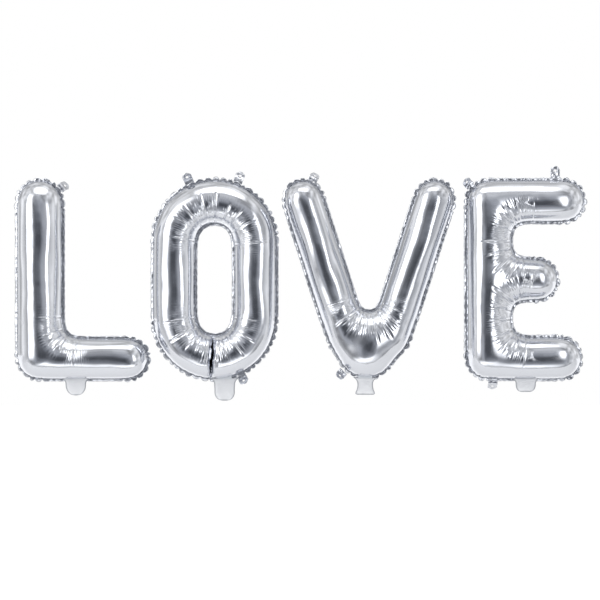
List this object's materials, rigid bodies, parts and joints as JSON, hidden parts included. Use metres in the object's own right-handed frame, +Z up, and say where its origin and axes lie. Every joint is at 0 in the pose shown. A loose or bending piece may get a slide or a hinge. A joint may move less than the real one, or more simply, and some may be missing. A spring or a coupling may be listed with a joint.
{
  "type": "foil letter balloon set",
  "caption": "Row of inflated foil letter balloons with welded rims, punched hanging tabs, hinged filling tails and inner valve sleeves, hung side by side.",
  "frame": {"origin": "centre of the whole set's bounding box, in the plane where the front and back films are welded", "axes": "+X along the word from its first letter to its last, +Y from the front films to the back films, +Z up"},
  "size_m": [0.9745, 0.104, 0.4022],
  "materials": {
    "front_film": "mirror-bright metallised film with fine pleats",
    "back_film": "mirror-bright metallised film with fine pleats",
    "weld_band": "flat welded double film, faintly embossed",
    "tail_film": "slack metallised film",
    "valve_film": "clear smooth valve film"
  },
  "bodies": {
    "letter_l": {"l_front_panel": "front_film", "l_back_panel": "back_film", "l_welded_rim": "weld_band", "l_valve_sleeve": "valve_film", "l_hanging_tab": "weld_band"},
    "l_tail": {"l_filling_tail": "tail_film"},
    "letter_o": {"o_front_panel": "front_film", "o_back_panel": "back_film", "o_outer_rim": "weld_band", "o_inner_rim": "weld_band", "o_valve_sleeve": "valve_film", "o_hanging_tab_left": "weld_band", "o_hanging_tab_right": "weld_band", "o_lower_tab": "weld_band"},
    "o_tail": {"o_filling_tail": "tail_film"},
    "letter_v": {"v_front_panel": "front_film", "v_back_panel": "back_film", "v_welded_rim": "weld_band", "v_valve_sleeve": "valve_film", "v_hanging_tab": "weld_band", "v_lower_tab": "weld_band"},
    "v_tail": {"v_filling_tail": "tail_film"},
    "letter_e": {"e_front_panel": "front_film", "e_back_panel": "back_film", "e_welded_rim": "weld_band", "e_valve_sleeve": "valve_film", "e_hanging_tab": "weld_band", "e_corner_tab": "weld_band", "e_lower_tab": "weld_band"},
    "e_tail": {"e_filling_tail": "tail_film"}
  },
  "joints": [
    {"name": "o_swing", "type": "hinge", "parent": "letter_l", "child": "letter_o", "pos_m": [-0.146, 0, 0.18348], "axis": [1, 0, 0], "range_deg": [-60, 60]},
    {"name": "v_swing", "type": "hinge", "parent": "letter_l", "child": "letter_v", "pos_m": [0.0262, 0, 0.18809], "axis": [1, 0, 0], "range_deg": [-60, 60]},
    {"name": "e_swing", "type": "hinge", "parent": "letter_l", "child": "letter_e", "pos_m": [0.433, 0, 0.1931], "axis": [1, 0, 0], "range_deg": [-60, 60]},
    {"name": "l_tail_fold", "type": "hinge", "parent": "letter_l", "child": "l_tail", "pos_m": [-0.382, 0, -0.1681], "axis": [1, 0, 0], "range_deg": [-110, 110]},
    {"name": "o_tail_fold", "type": "hinge", "parent": "letter_o", "child": "o_tail", "pos_m": [-0.129, 0, -0.1681], "axis": [1, 0, 0], "range_deg": [-110, 110]},
    {"name": "v_tail_fold", "type": "hinge", "parent": "letter_v", "child": "v_tail", "pos_m": [0.11, 0, -0.1681], "axis": [1, 0, 0], "range_deg": [-110, 110]},
    {"name": "e_tail_fold", "type": "hinge", "parent": "letter_e", "child": "e_tail", "pos_m": [0.383, 0, -0.1681], "axis": [1, 0, 0], "range_deg": [-110, 110]}
  ]
}
